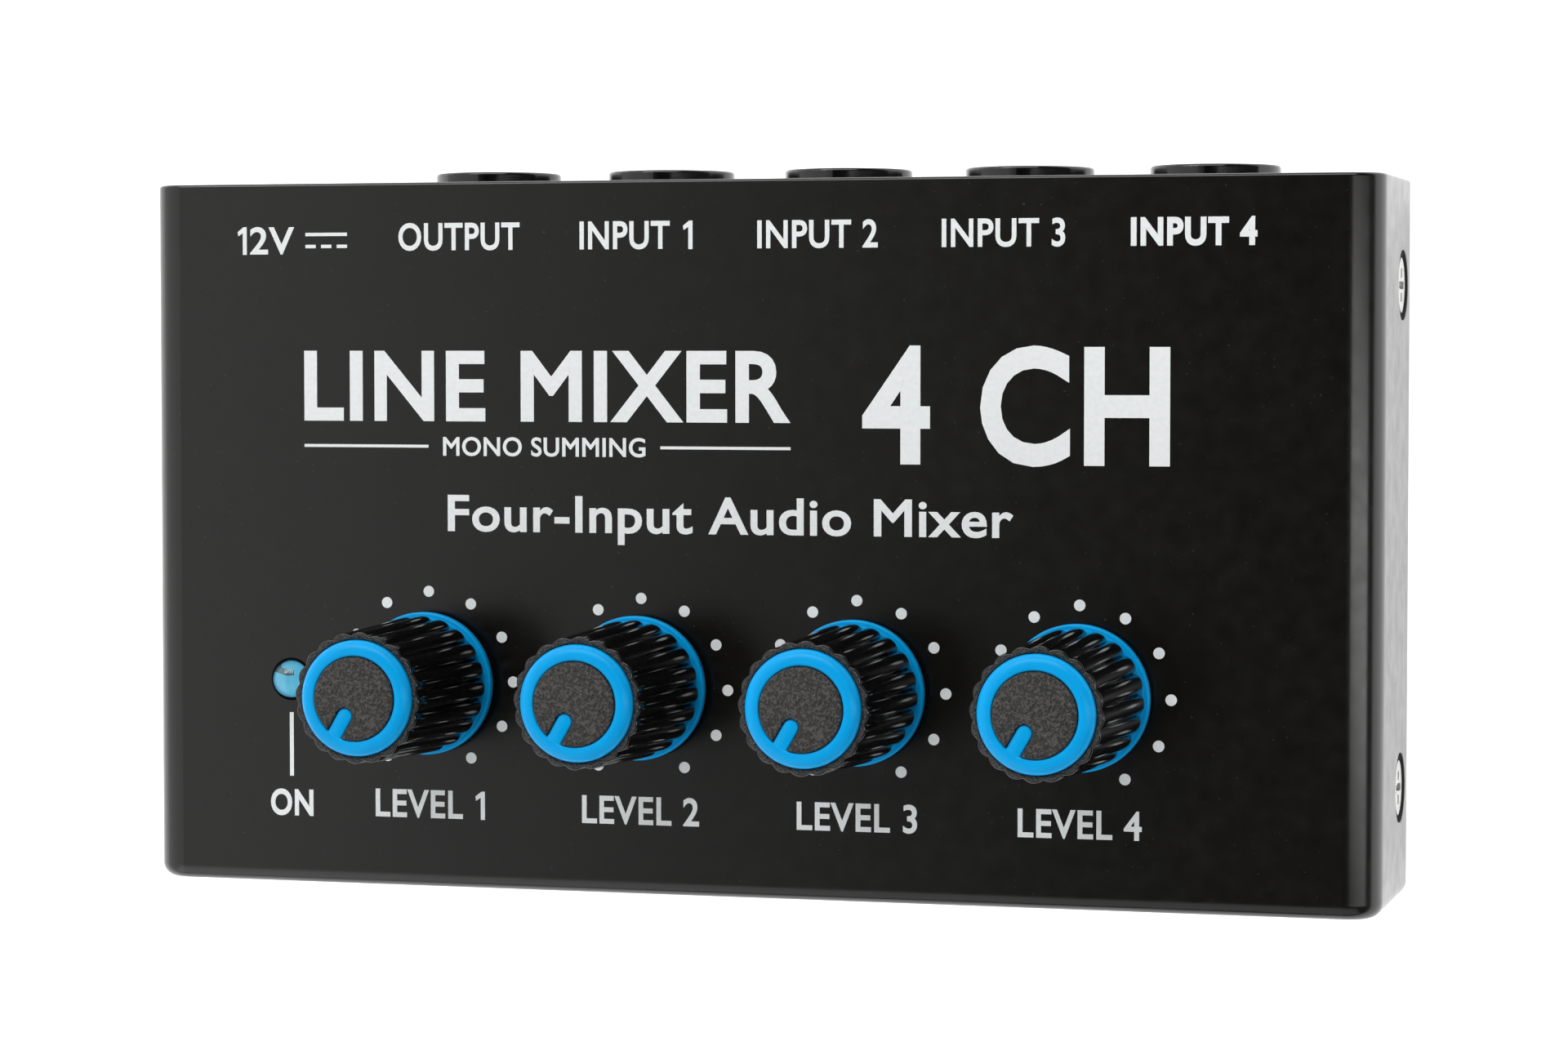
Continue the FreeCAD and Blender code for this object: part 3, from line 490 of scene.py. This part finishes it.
def core_mesh():
    """Azure core: stepped flange, stem, shaft socket and the domed ring."""
    profile = [(0, SOCKET_HIGH), (SOCKET_RADIUS, SOCKET_HIGH), (SOCKET_RADIUS, FLANGE_LOW)]
    profile += [(FLANGE_RADIUS - 0.5, FLANGE_LOW)]
    profile += arc(FLANGE_RADIUS - 0.25, FLANGE_LOW + 0.3, 0.25, 0.3, -90, 0, 4)
    lip_high = FLANGE_HIGH - FLANGE_STEP
    profile += arc(FLANGE_RADIUS - 0.22, lip_high - 0.22, 0.22, 0.22, 0, 90, 4)
    step = FLANGE_RADIUS - FLANGE_LIP
    profile += [(step, lip_high), (step - 0.04, lip_high + 0.04)]
    profile += [(step - 0.08, FLANGE_HIGH - 0.03), (step - 0.14, FLANGE_HIGH)]
    shelf = GRIP_HIGH - RING_SEAT + FIT_GAP
    profile += [(STEM_RADIUS, FLANGE_HIGH), (STEM_RADIUS, shelf), (RING_OUTER, shelf)]
    crest = RING_INNER + 0.45
    profile += arc(crest, GRIP_HIGH - 0.05, RING_OUTER - crest, 0.98, 0, 90, 16)
    profile += arc(RING_INNER + 0.25, GRIP_HIGH + 0.73, 0.25, 0.2, 90, 180, 5)
    profile += [(RING_INNER, CAP_LOW), (0, CAP_LOW)]
    return turned_mesh("azure_core", profile, CORE_SEGMENTS)


def slot_outline(z, inset, steps=72):
    """A disc with a slot for the pointer, open to the rear."""
    radius, half = RING_INNER - 0.03 - inset, POINTER_HALF + 0.03 + inset
    gate = math.asin(half / radius)
    points = []
    for i in range(steps + 1):
        angle = math.pi / 2 + gate + (2 * math.pi - 2 * gate) * i / steps
        points.append((radius * math.cos(angle), radius * math.sin(angle), z))
    for i in range(SLOT_STEPS + 1):
        angle = -math.pi * i / SLOT_STEPS
        points.append((half * math.cos(angle), POINTER_INNER + half * math.sin(angle), z))
    return points


def cap_mesh():
    """Grained disc with softened edges, set inside the ring."""
    levels = [(CAP_LOW + FIT_GAP, 0.0), (CAP_HIGH - 0.22, 0.0), (CAP_HIGH - 0.08, 0.05),
              (CAP_HIGH - 0.02, 0.13), (CAP_HIGH, 0.24)]
    outlines = [slot_outline(z, inset) for z, inset in levels]
    return stacked_mesh("grained_cap", outlines, sharp_deg=60.0)


def pointer_mesh():
    """Pointer bar from its round inner end out into the ring."""
    levels = [(CAP_LOW + FIT_GAP, 0.0), (POINTER_HIGH - 0.2, 0.0), (POINTER_HIGH - 0.07, 0.05),
              (POINTER_HIGH, 0.2)]
    outlines = []
    for z, inset in levels:
        half = POINTER_HALF - inset
        points = [(half, POINTER_OUTER, z), (-half, POINTER_OUTER, z)]
        for i in range(POINTER_STEPS + 1):
            angle = math.pi + math.pi * i / POINTER_STEPS
            points.append((half * math.cos(angle), POINTER_INNER + half * math.sin(angle), z))
        outlines.append(points)
    return stacked_mesh("azure_pointer", outlines, sharp_deg=60.0)


def build_knobs():
    grip, core, cap, pointer = grip_mesh(), core_mesh(), cap_mesh(), pointer_mesh()
    azure, dark = [finishes["core_plastic"]], [finishes["cap_plastic"]]
    for i, (x, y) in enumerate(KNOB_PLACES, start=1):
        body = "level_knob_%d" % i
        place = Matrix.Translation(on_panel(x, y)) @ Matrix.Rotation(LOW_END_TURN, 4, "Z")
        piece = add_piece("fluted_grip_%d" % i, grip, body, [], place)
        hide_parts("knob_grip_%d" % i)
        piece = add_piece("azure_core_%d" % i, core, body, azure, place)
        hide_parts("knob_core_%d" % i)
        piece = add_piece("grained_cap_%d" % i, cap, body, dark, place)
        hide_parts("knob_cap_%d" % i)
        add_piece("azure_pointer_%d" % i, pointer, body, azure, place)


# ---------------------------------------------------------------- indicator lamp
LENS_NOSE = 1.95        # radius of the dome
LENS_RIM_HEIGHT = 1.0
PAINTED_LAMP_GLOW = 0.45        # painted light: an emission that stands for light that the clear dome gathers


def lens_mesh(base, top, rim):
    """A dome on a low round rim."""
    rim_high = base + LENS_RIM_HEIGHT
    profile = [(0, base), (rim, base)]
    profile += arc(rim - 0.15, rim_high - 0.15, 0.15, 0.15, 0, 90, 4)
    profile += [(LENS_NOSE + 0.06, rim_high), (LENS_NOSE, rim_high + 0.06)]
    profile += arc(0, top - LENS_NOSE, LENS_NOSE, LENS_NOSE, 0, 84, 16) + [(0, top)]
    return turned_mesh("lamp_dome", profile)


def lamp_seat_painted_glow():
    """Pale blue reflector finish with a weak emission, painted light for what the clear dome
    gathers.
    """
    seat = plain_finish("lamp_seat_painted_glow", (0.25, 0.62, 0.78), (0.50, 0.85, 0.95), (0.3, 0.5), 0.3)
    # Painted light: the unlit reflector glows so that the dome looks lit from inside.
    shader_of(seat).inputs["Emission Color"].default_value = (0.10, 0.52, 0.74, 1.0)
    shader_of(seat).inputs["Emission Strength"].default_value = PAINTED_LAMP_GLOW
    return seat


def build_lamp():
    """Clear dome, a black ring round it as painted shade in the gap at the hole's edge, and the
    reflector, with its painted glow, and the wedge inside.
    """
    low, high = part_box("lamp_lens")
    base, top = (low.z - PANEL_Z) / MM, (high.z - PANEL_Z) / MM
    rim = (high.x - low.x) / MM / 2
    place = Matrix.Translation(on_panel(LAMP_X, LAMP_Y))
    black = [finishes["shadow_black"]]
    lens = add_piece("lamp_dome", lens_mesh(base, top, rim), CASE,
                     [finishes["lamp_clear"]], place)
    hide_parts("lamp_lens")
    # Painted shade: a black ring over the gap round the dome, standing for the dark hole beneath.
    inner, outer = LENS_NOSE + 0.01, LENS_NOSE + 0.30
    gap = [(inner, -0.3), (outer, -0.3), (outer, 0.01), (outer - 0.04, 0.03), (inner, 0.03)]
    add_piece("lamp_gap_shade", ring_mesh("lamp_gap_shade", gap), CASE, black, place)
    dish = [(0, base + 0.35), (1.5, base + 0.9), (1.72, base + 1.7), (1.62, base + 1.7),
            (1.4, base + 1.0), (0, base + 0.5)]
    add_piece("lamp_reflector", turned_mesh("lamp_reflector", dish, 48), CASE,
              [lamp_seat_painted_glow()], place)
    foot, tail, edge = base + 0.9, base + 1.5, base + 1.6
    wedge = [[(-1.30, 0.30, foot), (-0.45, 0.05, foot), (-0.45, 0.25, foot)],
             [(-1.30, 0.30, tail), (-0.55, 0.10, edge), (-0.55, 0.20, edge)]]
    add_piece("lamp_anvil", stacked_mesh("lamp_anvil", wedge), CASE, black, place)


# ---------------------------------------------------------------- painted shade round the screw heads
HEAD_RADIUS = 2.8
DISH_SHADE_INNER = HEAD_RADIUS + 0.03
DISH_SHADE_OUTER = HEAD_RADIUS + 0.75


def build_screw_dish_shades():
    """Painted shade: a dark ring in the dish round each screw head, where the countersink falls
    into shade.
    """
    low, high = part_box("case_screws")
    z = high.z - HEAD_RADIUS * MM
    ends = (("front", low.y + HEAD_RADIUS * MM), ("rear", high.y - HEAD_RADIUS * MM))
    # Painted shade: a black ring standing for the shadow in each countersink.
    section = [(DISH_SHADE_INNER, 0.02), (DISH_SHADE_OUTER, 0.15), (DISH_SHADE_OUTER, 0.17), (DISH_SHADE_INNER, 0.06)]
    mesh = ring_mesh("screw_dish_shade", section)
    for side, face, degrees in (("left", low.x, -90), ("right", high.x, 90)):
        turn = Matrix.Rotation(math.radians(degrees), 4, "Y")
        for end, y in ends:
            place = Matrix.Translation(Vector((face, y, z))) @ turn
            add_piece("screw_seat_%s_%s" % (side, end), mesh, CASE,
                      [finishes["shadow_black"]], place)


# ---------------------------------------------------------------- panel print
# Millimetres from the panel's centre, unless a comment says otherwise
INK_LOW, INK_HIGH = -0.01, 0.025
LETTER_ROOM = 2.8      # extra letter spacing for each unit of bevel
DOT_CIRCLE = 9.25
DOT_RADIUS = 0.58
DOTS = 11
DOT_SHIFTS = ((-0.06, 0.21), (0.12, -0.15), (0.0, 0.0), (-0.04, -0.10))   # drift at each knob
DOT_STEP = math.radians(30)
LABEL_CAP = 2.9        # height of the capitals
LABEL_WEIGHT = 0.15    # what the strokes gain in width
LAST_INPUT_WEIGHT = 0.30
LABEL_WIDTH = 12.6
LEVEL_CAP = 2.95
TOP_LABEL_Y = 31.05
LEVEL_LABEL_Y = -27.95
ON_LABEL_Y = -28.2
ON_LINE = (0.22, -25.4, -18.7)   # half width, low end and high end
SUPPLY_Y = TOP_LABEL_Y - 0.3
SUPPLY_SYMBOL = (-47.3, -42.65)   # its left and right ends
DASH, DASH_GAP = 1.15, 0.6
ONE_ROOM = 2.42        # the digit 1 and the space before it
NARROWER = 0.5         # what a label with a 1 lacks in width
TITLE_X = -21.1
RULE_Y = (9.2, 9.5)
RULE_X = (12.6, 26.4)  # from the title's middle
ink = white_ink()


def letter_mesh(text, bevel):
    """Filled letters in font units, their strokes widened all round by the bevel."""
    curve = bpy.data.curves.new("letters", "FONT")
    curve.body = text
    curve.extrude = 0.5
    curve.bevel_depth = bevel
    curve.bevel_resolution = 1
    curve.space_character = 1.0 + LETTER_ROOM * bevel
    curve.resolution_u = 5
    source = bpy.data.objects.new("letters", curve)
    bpy.context.scene.collection.objects.link(source)
    bpy.context.view_layer.update()
    graph = bpy.context.evaluated_depsgraph_get()
    mesh = bpy.data.meshes.new_from_object(source.evaluated_get(graph))
    bpy.data.objects.remove(source)
    return mesh


def mesh_box(mesh):
    low = Vector([min(v.co[k] for v in mesh.vertices) for k in range(3)])
    high = Vector([max(v.co[k] for v in mesh.vertices) for k in range(3)])
    return low, high


def add_ink(name, mesh, x=0.0, y=0.0):
    add_piece(name, mesh, CASE, [ink], Matrix.Translation(on_panel(x, y)))


def print_text(name, text, x, y, width, cap, weight):
    """Printed lettering centred at (x, y), its strokes thickened by weight, all in mm."""
    low, high = mesh_box(letter_mesh(text, 0.0))
    scales = (width - weight) / (high.x - low.x) + (cap - weight) / (high.y - low.y)
    mesh = letter_mesh(text, weight / scales)
    mesh.name = name
    mesh.materials.clear()
    low, high = mesh_box(mesh)
    centre, size = (low + high) / 2, high - low
    scale = (width / size.x, cap / size.y, (INK_HIGH - INK_LOW) / size.z)
    middle_z = (INK_LOW + INK_HIGH) / 2
    for vertex in mesh.vertices:
        place = vertex.co - centre
        vertex.co = Vector((place.x * scale[0], place.y * scale[1],
                            place.z * scale[2] + middle_z)) * MM
    mesh.shade_flat()
    add_ink(name, mesh, x, y)


def bar_mesh(name, bars):
    """Printed rectangles, each (low x, low y, high x, high y) in panel millimetres."""
    points, faces = [], []
    for x0, y0, x1, y1 in bars:
        start = len(points)
        for z in (INK_LOW, INK_HIGH):
            points += [(x0, y0, z), (x1, y0, z), (x1, y1, z), (x0, y1, z)]
        for quad in ((3, 2, 1, 0), (4, 5, 6, 7), (0, 1, 5, 4), (1, 2, 6, 5), (2, 3, 7, 6),
                     (3, 0, 4, 7)):
            faces.append(tuple(start + k for k in quad))
    return mesh_from(name, points, faces)


def dots_mesh(name, centres, radius, segments=24):
    """Printed round dots."""
    points, faces = [], []
    for x, y in centres:
        start = len(points)
        for z in (INK_LOW, INK_HIGH):
            for i in range(segments):
                angle = 2 * math.pi * i / segments
                points.append((x + radius * math.cos(angle), y + radius * math.sin(angle), z))
        faces.append(tuple(start + i for i in reversed(range(segments))))
        faces.append(tuple(start + segments + i for i in range(segments)))
        for i in range(segments):
            j = (i + 1) % segments
            faces.append((start + i, start + j, start + segments + j, start + segments + i))
    return mesh_from(name, points, faces)


def print_one(name, right, y, cap):
    """The digit 1 with a flag, its right edge at a panel place."""
    stem, flag, thick = 0.155 * cap, 0.20 * cap, 0.15 * cap
    low, high = y - cap / 2, y + cap / 2
    drop = high - 0.18 * cap
    outline = [(right - stem, low), (right, low), (right, high), (right - stem * 0.8, high),
               (right - stem - flag, drop), (right - stem - flag * 0.85, drop - thick),
               (right - stem, high - 0.22 * cap)]
    points = [(px, py, z) for z in (INK_LOW, INK_HIGH) for px, py in outline]
    count = len(outline)
    faces = [tuple(reversed(range(count))), tuple(range(count, 2 * count))]
    faces += [(i, (i + 1) % count, count + (i + 1) % count, count + i) for i in range(count)]
    add_ink(name, mesh_from(name, points, faces))


def print_numbered(name, word, number, x, y, width, cap, weight):
    """A word and its number, together centred on x; a 1 takes less room than the rest."""
    if number != 1:
        print_text(name, "%s %d" % (word, number), x, y, width, cap, weight)
        return
    print_text(name, word, x - ONE_ROOM / 2, y, width - NARROWER - ONE_ROOM, cap, weight)
    print_one(name + "_digit", x + (width - NARROWER) / 2, y, cap)


def build_print():
    print_text("print_output", "OUTPUT", JACK_X[0], TOP_LABEL_Y, 13.3, LABEL_CAP, LABEL_WEIGHT)
    for i, x in enumerate(JACK_X[1:], start=1):
        weight = LAST_INPUT_WEIGHT if i == KNOBS else LABEL_WEIGHT
        print_numbered("print_input_%d" % i, "INPUT", i, x, TOP_LABEL_Y, LABEL_WIDTH, LABEL_CAP,
                       weight)
    print_one("print_supply_digit", -53.9, SUPPLY_Y, LABEL_CAP)
    print_text("print_supply", "2V", -51.05, SUPPLY_Y, 5.0, LABEL_CAP, LABEL_WEIGHT)
    left, right = SUPPLY_SYMBOL
    symbol = [(left, SUPPLY_Y + 0.45, right, SUPPLY_Y + 0.8)]
    for i in range(3):
        start = left + i * (DASH + DASH_GAP)
        symbol.append((start, SUPPLY_Y - 0.8, start + DASH, SUPPLY_Y - 0.45))
    add_ink("print_direct_current", bar_mesh("print_direct_current", symbol))
    angles = [(k - (DOTS - 1) / 2) * DOT_STEP for k in range(DOTS)]
    for i, (x, knob_y) in enumerate(KNOB_PLACES, start=1):
        print_numbered("print_level_%d" % i, "LEVEL", i, x, LEVEL_LABEL_Y, LABEL_WIDTH, LEVEL_CAP,
                       LABEL_WEIGHT)
        shift_x, shift_y = DOT_SHIFTS[i - 1]
        centres = [(x + shift_x + DOT_CIRCLE * math.sin(a),
                    knob_y + shift_y + DOT_CIRCLE * math.cos(a)) for a in angles]
        add_ink("print_dots_%d" % i, dots_mesh("print_dots_%d" % i, centres, DOT_RADIUS))
    print_text("print_on", "ON", LAMP_X, ON_LABEL_Y, 4.8, 2.85, 0.22)
    half, low, high = ON_LINE
    line = [(LAMP_X - half, low, LAMP_X + half, high)]
    add_ink("print_on_line", bar_mesh("print_on_line", line))
    print_text("print_title", "LINE MIXER", TITLE_X, 15.6, 52.8, 7.3, 0.5)
    print_text("print_strap", "MONO SUMMING", TITLE_X, 9.35, 22.0, 2.0, 0.1)
    near, far = RULE_X
    rules = [(TITLE_X - far, RULE_Y[0], TITLE_X - near, RULE_Y[1]),
             (TITLE_X + near, RULE_Y[0], TITLE_X + far, RULE_Y[1])]
    add_ink("print_rules", bar_mesh("print_rules", rules))
    print_text("print_channels", "4 CH", 28.5, 13.75, 31.4, 12.1, 0.8)
    print_text("print_note", "Four-Input Audio Mixer", -1.6, 1.85, 60.0, 5.0, 0.2)


# ---------------------------------------------------------------- studio
VIEW_YAW = math.radians(15.62)
VIEW_PITCH = math.radians(-2.44)
VIEW_DISTANCE = 422.5
VIEW_CENTRE = (4.61, 1.81)   # millimetres on the panel
LENS = 95.65
SENSOR_WIDTH = 36.0
FLOOR_HALF = 4.0             # metres
FLOOR_GLOW = 0.85            # keeps the background white
# World brightness from -X (0) to +X (1): bright, then dark short of the middle, then dim
SURROUND = ((0.0, 1.25), (0.27, 1.12), (0.30, 0.98), (0.355, 0.42), (0.395, 0.10), (0.43, 0.01),
            (1.0, 0.15))
# Name, place and size in metres, power in watts
SOFTBOXES = (("softbox_right", (0.66, -0.05, 0.74), (0.14, 1.0), 2.1),
             ("softbox_rear", (-0.1, 0.80, 0.66), (1.0, 0.45), 7.6),
             ("softbox_front", (-0.1, -1.05, 0.85), (2.2, 1.3), 7.0))


def make_camera():
    data = bpy.data.cameras.new("camera")
    data.lens = LENS
    data.sensor_width = SENSOR_WIDTH
    data.clip_start, data.clip_end = 0.01, 20.0
    camera = bpy.data.objects.new("camera", data)
    bpy.context.scene.collection.objects.link(camera)
    turn = Matrix.Rotation(VIEW_YAW, 4, "Y") @ Matrix.Rotation(VIEW_PITCH, 4, "X")
    target = on_panel(*VIEW_CENTRE)
    back = turn.to_3x3() @ Vector((0, 0, 1))
    camera.matrix_world = Matrix.Translation(target + back * VIEW_DISTANCE * MM) @ turn
    bpy.context.scene.camera = camera


def area_light(name, place, size, power):
    """A white rectangular soft box that faces the object."""
    data = bpy.data.lights.new(name, "AREA")
    data.shape = "RECTANGLE"
    data.size, data.size_y = size
    data.energy = power
    light = bpy.data.objects.new(name, data)
    bpy.context.scene.collection.objects.link(light)
    light.location = place
    light.rotation_mode = "QUATERNION"
    light.rotation_quaternion = (-Vector(place)).to_track_quat("-Z", "Y")


def make_world():
    """Studio surround whose brightness runs along X."""
    world = bpy.data.worlds.new("surround")
    bpy.context.scene.world = world
    world.use_nodes = True
    nodes, links = world.node_tree.nodes, world.node_tree.links
    coordinates = nodes.new("ShaderNodeTexCoord")
    split = nodes.new("ShaderNodeSeparateXYZ")
    ramp = nodes.new("ShaderNodeValToRGB")
    scale = nodes.new("ShaderNodeMapRange")
    scale.inputs["From Min"].default_value = -1.0
    links.new(coordinates.outputs["Generated"], split.inputs["Vector"])
    links.new(split.outputs["X"], scale.inputs["Value"])
    links.new(scale.outputs["Result"], ramp.inputs["Fac"])
    elements = ramp.color_ramp.elements
    while len(elements) < len(SURROUND):
        elements.new(0.5)
    for element, (position, level) in zip(elements, SURROUND):
        element.position = position
        element.color = (level, level, level, 1.0)
    links.new(ramp.outputs["Color"], nodes["Background"].inputs["Color"])
    nodes["Background"].inputs["Strength"].default_value = 1.0


def make_floor():
    turns = ((-1, -1), (1, -1), (1, 1), (-1, 1))
    corners = [(x * FLOOR_HALF, y * FLOOR_HALF, 0) for x, y in turns]
    mesh = bpy.data.meshes.new("floor")
    mesh.from_pydata(corners, [], [(0, 1, 2, 3)])
    material = plain_finish("floor_paper", gray(0.91), gray(0.94), (0.6, 0.8), 2.0, 0.03)
    shader_of(material).inputs["Emission Color"].default_value = (1.0, 1.0, 1.0, 1.0)
    shader_of(material).inputs["Emission Strength"].default_value = FLOOR_GLOW
    mesh.materials.append(material)
    floor = bpy.data.objects.new("floor", mesh)
    bpy.context.scene.collection.objects.link(floor)


def make_studio():
    make_camera()
    make_world()
    make_floor()
    for softbox in SOFTBOXES:
        area_light(*softbox)
    scene = bpy.context.scene
    scene.view_settings.view_transform = "Standard"
    scene.view_settings.look = "None"


make_studio()
finish_cad_nodes()
build_knobs()
build_lamp()
build_screw_dish_shades()
build_print()
